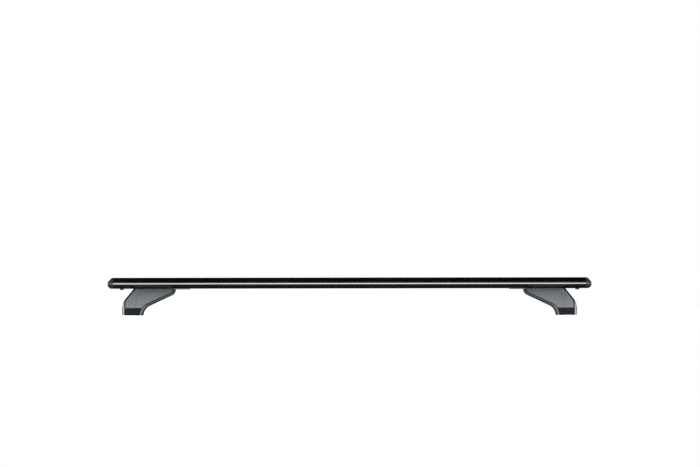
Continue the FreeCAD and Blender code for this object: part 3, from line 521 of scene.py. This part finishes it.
def thread_tree():
    """A helix of pointed section around the Z axis, from the origin upwards."""
    wires, given, result = form_tree("screw_thread", [
        ("Root Radius", "NodeSocketFloat"), ("Pitch", "NodeSocketFloat"), ("Length", "NodeSocketFloat"),
        ("Material", "NodeSocketMaterial"),
    ])
    turns = wires.maths("DIVIDE", given["Length"], given["Pitch"])
    helix = wires.add("GeometryNodeCurveSpiral", {
        "Resolution": 28, "Rotations": turns, "Start Radius": given["Root Radius"],
        "End Radius": given["Root Radius"], "Height": given["Length"],
    }).outputs[0]
    upright = wires.add("GeometryNodeSetCurveNormal", {"Curve": helix}, mode="Z_UP")
    ridge = wires.add("GeometryNodeCurvePrimitiveCircle", {"Resolution": 4}, mode="RADIUS")
    wires.join(wires.product(given["Pitch"], 0.49), ridge.inputs["Radius"])
    sweep = wires.add("GeometryNodeCurveToMesh", {
        "Curve": upright.outputs[0], "Profile Curve": ridge.outputs[0], "Fill Caps": True})
    finish_form(wires, sweep.outputs[0], given, result)
    return wires.tree


def rib_tree():
    """Low round ribs along X, side by side over a crowned face."""
    wires, given, result = form_tree("strip_ribs", [
        ("Count", "NodeSocketInt"), ("Pitch", "NodeSocketFloat"), ("Half Length", "NodeSocketFloat"),
        ("Rib Radius", "NodeSocketFloat"), ("Crown Radius", "NodeSocketFloat"), ("Top", "NodeSocketFloat"),
        ("Material", "NodeSocketMaterial"),
    ])
    ends = [wires.add("ShaderNodeCombineXYZ", {0: wires.product(given["Half Length"], side)}).outputs[0]
            for side in (-1, 1)]
    line = wires.add("GeometryNodeCurvePrimitiveLine", {"Start": ends[0], "End": ends[1]})
    section = wires.add("GeometryNodeCurvePrimitiveCircle", {"Resolution": 10}, mode="RADIUS")
    wires.join(given["Rib Radius"], section.inputs["Radius"])
    rib = wires.add("GeometryNodeCurveToMesh", {
        "Curve": line.outputs[0], "Profile Curve": section.outputs[0], "Fill Caps": True}).outputs[0]
    first = wires.product(wires.maths("SUBTRACT", given["Count"], 1.0), given["Pitch"], -0.5)
    places = wires.add("GeometryNodeMeshLine", {
        "Count": given["Count"],
        "Start Location": wires.add("ShaderNodeCombineXYZ", {1: first}).outputs[0],
        "Offset": wires.add("ShaderNodeCombineXYZ", {1: given["Pitch"]}).outputs[0]}).outputs[0]
    where = wires.add("GeometryNodeInputPosition").outputs[0]
    across = wires.add("ShaderNodeSeparateXYZ", {0: where}).outputs["Y"]
    crown = wires.product(given["Crown Radius"], 2.0)
    fall = wires.maths("DIVIDE", wires.product(across, across), crown)
    lift = wires.add("ShaderNodeCombineXYZ", {2: wires.maths("SUBTRACT", given["Top"], fall)}).outputs[0]
    crowned = wires.add("GeometryNodeSetPosition", {"Geometry": places, "Offset": lift}).outputs[0]
    copies = wires.add("GeometryNodeInstanceOnPoints", {"Points": crowned, "Instance": rib}).outputs[0]
    finish_form(wires, copies, given, result)
    return wires.tree


def grown(name, tree, **values):
    """Run a geometry tree with its inputs set, and give back the plain mesh."""
    blank = bpy.data.objects.new(name, bpy.data.meshes.new(name))
    bpy.context.scene.collection.objects.link(blank)
    form = blank.modifiers.new("form", "NODES")
    form.node_group = tree
    sockets = {item.name: item.identifier for item in tree.interface.items_tree if item.in_out == "INPUT"}
    for title, value in values.items():
        form[sockets[title.replace("_", " ")]] = value
    bake(blank)
    mesh = blank.data
    bpy.data.objects.remove(blank)
    return mesh


def islands(shape):
    """The separate solids of a skin, each as the set of its corners."""
    left = set(shape.verts)
    while left:
        found = {left.pop()}
        queue = list(found)
        while queue:
            for edge in queue.pop().link_edges:
                for corner in edge.verts:
                    if corner in left:
                        left.discard(corner)
                        found.add(corner)
                        queue.append(corner)
        yield found


def halfway(corners, axis):
    """The middle of the corners' reach along an axis."""
    places = [corner.co[axis] for corner in corners]
    return (min(places) + max(places)) / 2


THREAD = thread_tree()
RIBS = rib_tree()
ON_SHANK = 0.06 * MM


def make_threaded(node, along, radius, pitch):
    """A screw or bolt: its shank is cut back to the root, and a thread winds around it."""
    shape = skin_of(node)
    across = [axis for axis in range(3) if axis != along]
    root = radius - 0.5 * pitch
    run_out = 0.6 * pitch
    threads = []
    for corners in islands(shape):
        middle = [halfway(corners, axis) for axis in across]
        shank = []
        for corner in corners:
            off = [corner.co[axis] - centre for axis, centre in zip(across, middle)]
            reach = math.hypot(*off)
            if abs(reach - radius) < ON_SHANK:
                shank.append(corner)
                for axis, centre, distance in zip(across, middle, off):
                    corner.co[axis] = centre + distance * root / reach
        low = min(corner.co[along] for corner in shank)
        high = max(corner.co[along] for corner in shank)
        threads.append((middle, low + run_out, high - run_out))
    round_off(shape, sharp_edges(shape, EDGE_TURN), 0.25 * MM)
    for middle, low, high in threads:
        mesh = grown("thread", THREAD, Root_Radius=root, Pitch=pitch, Length=high - low, Material=STEEL)
        for corner in mesh.vertices:
            place = corner.co.copy()
            corner.co[along] = low + place.z
            corner.co[across[0]] = middle[0] + place.x
            corner.co[across[1]] = middle[1] + place.y
        shape.from_mesh(mesh)
    bmesh.ops.recalc_face_normals(shape, faces=shape.faces)
    as_piece(shape, node)


def make_top_strip():
    """The rubber strip, with fine ribs along its crown."""
    shape = skin_of("top_strip")
    top = max(corner.co.z for corner in shape.verts)
    reach = max(corner.co.x for corner in shape.verts)
    round_off(shape, sharp_edges(shape, STEEP_TURN), 0.25 * MM)
    shape.from_mesh(grown("ribs", RIBS, Count=7, Pitch=2.8 * MM, Half_Length=reach - 0.6 * MM,
                          Rib_Radius=0.75 * MM, Crown_Radius=55 * MM, Top=top - 0.35 * MM, Material=RUBBER))
    as_piece(shape, "top_strip")


# The feet: what bounds their flanks, and the order of their finishes

PAINTS = 4
# The edge and inside finishes are painted shade
EDGE, FLANK, INSIDE = 1, 2, 3
EDGE_WIDTH = 0.7 * MM
SLIGHT_TURN, FULL_TURN = 20, 55
HEEL = 0.5475
HEEL_FOOT = (0.544, 0.012)
LEAN_TOP = (0.5735, 0.0625)
LEAN_START, FLANK_TOP = 0.5705, 0.0215
HOLLOW_REACH, HOLLOW_FROM = 0.12, 0.545
OFF_FACE, OFF_GROUND = 0.05 * MM, 1 * MM

# How far a face's direction turns sideways, outwards or down before it counts as facing there

SIDEWAYS, OUTWARDS = 0.3, 0.7
A_LITTLE_DOWN, STRAIGHT_DOWN = -0.05, -0.9


def looks_out(face):
    """True on the sides of a foot that face away from its middle."""
    return face.normal.y * face.calc_center_median().y > 0 and abs(face.normal.y) > SIDEWAYS


def weighted_bevel(shape, weights, width, paint):
    """Cuts each edge back by its share of a width, and gives the cut faces a finish of their own."""
    layer = shape.edges.layers.float.new("bevel_weight_edge")
    shape.edges.ensure_lookup_table()
    for index, share in weights.items():
        shape.edges[index][layer] = share
    mesh = bpy.data.meshes.new("cut")
    shape.to_mesh(mesh)
    shape.free()
    blank = bpy.data.objects.new("cut", mesh)
    bpy.context.scene.collection.objects.link(blank)
    for _ in range(PAINTS):
        mesh.materials.append(None)
    cut = blank.modifiers.new("cut", "BEVEL")
    cut.limit_method = "WEIGHT"
    cut.width = width
    cut.segments = 1
    cut.material = paint
    cut.use_clamp_overlap = False
    bake(blank)
    made = bmesh.new()
    made.from_mesh(blank.data)
    bpy.data.objects.remove(blank)
    done = made.edges.layers.float.get("bevel_weight_edge")
    if done:
        made.edges.layers.float.remove(done)
    return made


def share_of(edge):
    """Full width on a right angle, tapering to nothing where the edge runs out."""
    turn = math.degrees(edge.calc_face_angle(0))
    return min(1.0, max(0.0, (turn - SLIGHT_TURN) / (FULL_TURN - SLIGHT_TURN)))


def outline_edges(shape):
    """The edges that frame a foot's flanks: along its inner slope, and down its outer lean."""
    inner, outer = {}, {}
    shape.edges.index_update()
    for edge in sharp_edges(shape, SLIGHT_TURN):
        sides = [looks_out(face) for face in edge.link_faces]
        if sides.count(True) != 1:
            continue
        other = edge.link_faces[sides.index(False)].normal
        middle = (edge.verts[0].co + edge.verts[1].co) / 2
        along, across, up = abs(middle.x), abs(middle.y), middle.z
        outward = other.x * math.copysign(1, middle.x)
        on_slope = other.z < A_LITTLE_DOWN or (along > HEEL_FOOT[0] and up < HEEL_FOOT[1])
        on_lean = across > FLANK_TOP and along > LEAN_START and up > LEAN_FOOT
        if outward < 0 and along < HEEL and on_slope:
            inner[edge.index] = share_of(edge)
        elif outward > OUTWARDS and on_lean and (along > LEAN_TOP[0] or up > LEAN_TOP[1]):
            outer[edge.index] = share_of(edge)
    return inner, outer


def make_foot_part(node):
    """Shell or cover, with its outline edges cut back and its sides told apart from its hollow."""
    shape = skin_of(node)
    inner, outer = outline_edges(shape)
    # The cut edges take the edge finish, painted shade, and faces in the hollow the inside finish, painted
    # shade too
    shape = weighted_bevel(shape, inner | outer, EDGE_WIDTH, EDGE)
    tree = BVHTree.FromBMesh(shape)
    for face in shape.faces:
        middle = face.calc_center_median()
        start = middle + face.normal * OFF_FACE
        in_hollow = tree.ray_cast(start, face.normal, HOLLOW_REACH)[0] is not None
        faces_down = face.normal.z < STRAIGHT_DOWN
        under = faces_down and abs(middle.x) > HOLLOW_FROM and middle.z > OFF_GROUND
        if face.material_index == 0:
            face.material_index = INSIDE if in_hollow or under else FLANK if looks_out(face) else 0
    as_piece(shape, node)


for side in ("left", "right"):
    make_foot_part(f"{side}_foot_shell")
    make_foot_part(f"{side}_foot_cover")
    soften(f"{side}_end_cap", 0.5 * MM)
    soften(f"{side}_slot_carriage", 0.25 * MM, degrees=STEEP_TURN)
    soften(f"{side}_foot_bracket", 0.3 * MM, degrees=STEEP_TURN)
    soften(f"{side}_bolt_nuts", 0.3 * MM)
    soften(f"{side}_screw_washer", 0.25 * MM)
    soften(f"{side}_screw_clip", 0.15 * MM)
    soften(f"{side}_clamp_plate", 0.8 * MM)
    soften(f"{side}_hinge_pin", 0.2 * MM)
    make_threaded(f"{side}_foot_bolts", along=2, radius=3 * MM, pitch=1 * MM)
    make_threaded(f"{side}_clamp_screw", along=0, radius=4 * MM, pitch=1.25 * MM)
soften("bar_profile", 0.25 * MM, degrees=STEEP_TURN)
soften("bottom_strip", 0.3 * MM, degrees=STEEP_TURN)
make_top_strip()


# Stage, light and camera

FLOOR_REACH = 40.0
FLOOR_WHITE, FLOOR_MIRRORED = (0.93, 0.93, 0.93, 1), (0.018, 0.018, 0.018, 1)
FLOOR_GLOW, FLOOR_SEEN = 0.05, 0.42
MIRROR_DARK, MIRROR_BRIGHT = 0.008, 3.4
FLOOR_OPENS = (-0.12, -0.24)


def make_floor():
    """A pale floor. Reflections show it dark near the bar and bright further in front."""
    mesh = bpy.data.meshes.new("floor")
    corners = [(x * FLOOR_REACH, y * FLOOR_REACH, 0) for x, y in ((-1, -1), (1, -1), (1, 1), (-1, 1))]
    mesh.from_pydata(corners, [], [(0, 1, 2, 3)])
    floor = bpy.data.objects.new("floor", mesh)
    bpy.context.scene.collection.objects.link(floor)
    material = bpy.data.materials.new("floor")
    material.use_nodes = True
    surface = material.node_tree.nodes["Principled BSDF"]
    surface.inputs["Roughness"].default_value = 0.9
    surface.inputs["Specular IOR Level"].default_value = 0.0
    surface.inputs["Emission Color"].default_value = (1, 1, 1, 1)
    glow = Wiring(material.node_tree)
    path = glow.add("ShaderNodeLightPath").outputs
    depth = glow.add("ShaderNodeSeparateXYZ", {0: glow.place()}).outputs["Y"]
    mirrored = glow.product(path["Is Glossy Ray"], glow.ramp(depth, *FLOOR_OPENS, MIRROR_DARK, MIRROR_BRIGHT))
    seen = glow.ramp(path["Is Camera Ray"], 0, 1, FLOOR_GLOW, FLOOR_SEEN)
    glow.join(glow.maths("MAXIMUM", mirrored, seen), surface.inputs["Emission Strength"])
    paint = glow.blend(path["Is Glossy Ray"], FLOOR_WHITE, FLOOR_MIRRORED)
    glow.join(paint, surface.inputs["Base Color"])
    mesh.materials.append(material)
    floor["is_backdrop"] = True


# What the studio shows: to the camera, as light, and mirrored. A direction's Y is depth, its Z height.

BACKDROP, SOFT_GREY = (1, 1, 1, 1), (0.62, 0.625, 0.63, 1)
ROOM, BELT, HIGH_PANEL = (0.014, 0.0145, 0.0155, 1), (4.2, 4.22, 4.25, 1), (0.9, 0.91, 0.92, 1)
BELT_FRONT, BELT_DOWN = (-0.05, -0.30), (0.47, 0.36)
PANEL_FRONT, PANEL_BACK, PANEL_UP = (-0.18, -0.22), (-0.46, -0.42), (0.84, 0.88)


def make_studio():
    """White to the camera, soft grey light, and for reflections a bright belt in front of a dark room."""
    world = bpy.data.worlds.new("studio")
    bpy.context.scene.world = world
    world.use_nodes = True
    sky = Wiring(world.node_tree)
    path = sky.add("ShaderNodeLightPath").outputs
    towards = sky.add("ShaderNodeTexCoord").outputs["Generated"]
    towards = sky.add("ShaderNodeSeparateXYZ", {0: towards}).outputs
    in_belt = sky.product(sky.ramp(towards["Y"], *BELT_FRONT), sky.ramp(towards["Z"], *BELT_DOWN))
    in_panel = sky.product(sky.ramp(towards["Y"], *PANEL_FRONT), sky.ramp(towards["Y"], *PANEL_BACK),
                           sky.ramp(towards["Z"], *PANEL_UP))
    mirrored = sky.blend(in_panel, sky.blend(in_belt, ROOM, BELT), HIGH_PANEL)
    lit = sky.blend(path["Is Glossy Ray"], SOFT_GREY, mirrored)
    seen = sky.blend(path["Is Camera Ray"], lit, BACKDROP)
    sky.join(seen, world.node_tree.nodes["Background"].inputs["Color"])


def softbox(name, middle, aim, width, height, power):
    """A soft light that reflections don't show."""
    light = bpy.data.lights.new(name, "AREA")
    light.shape = "RECTANGLE"
    light.size = width
    light.size_y = height
    light.energy = power
    lamp = bpy.data.objects.new(name, light)
    bpy.context.scene.collection.objects.link(lamp)
    lamp.location = middle
    lamp.rotation_euler = (Vector(aim) - Vector(middle)).to_track_quat("-Z", "Y").to_euler()
    lamp.visible_glossy = False


make_floor()
make_studio()
softbox("key", (0.0, -2.2, 2.2), (0, 0, 0.05), width=3.0, height=0.8, power=30)
softbox("overhead", (0.0, 0.3, 2.6), (0, 0, 0), width=3.5, height=1.2, power=30)
softbox("left_side", (-2.2, -0.5, 0.6), (0, 0, 0.05), width=1.2, height=0.8, power=8)
softbox("right_side", (2.2, -0.5, 0.6), (0, 0, 0.05), width=1.2, height=0.8, power=8)
softbox("front_strip", (0.0, -4.4, 0.45), (0, 0, 0.085), width=4.0, height=0.6, power=170)

# The photo's front view: the bar fills part of its width, and stands below its middle row.
PHOTO_WIDTH, PHOTO_MIDDLE = 700, 233.5
BAR_LENGTH, BAR_PIXELS = 1.28, 483.4
MIDDLE_ROW, PIXELS_LEFT = 296.4, 0.55
TILT = -0.0014
SENSOR, LENS = 36.0, 300.0
HALF_HEIGHT = 0.05
PIXEL = BAR_LENGTH / BAR_PIXELS
DISTANCE = LENS / SENSOR * PHOTO_WIDTH * PIXEL


def make_camera():
    """A long lens far in front, aimed so that the bar stands where the photo shows it."""
    lens = bpy.data.cameras.new("camera")
    lens.lens = LENS
    lens.sensor_width = SENSOR
    lens.clip_end = 100
    camera = bpy.data.objects.new("camera", lens)
    bpy.context.scene.collection.objects.link(camera)
    sideways = PIXELS_LEFT * PIXEL
    upwards = (MIDDLE_ROW - PHOTO_MIDDLE) * PIXEL
    camera.location = (sideways, -DISTANCE, HALF_HEIGHT)
    view = Vector((sideways, 0, HALF_HEIGHT + upwards)) - camera.location
    camera.rotation_euler = view.to_track_quat("-Z", "Y").to_euler()
    camera.rotation_euler.rotate_axis("Z", TILT)
    bpy.context.scene.camera = camera
    bpy.context.scene.view_settings.view_transform = "Standard"


make_camera()

[[list(map(float, corner)) for corner in box] for box in (cad_box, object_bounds())]
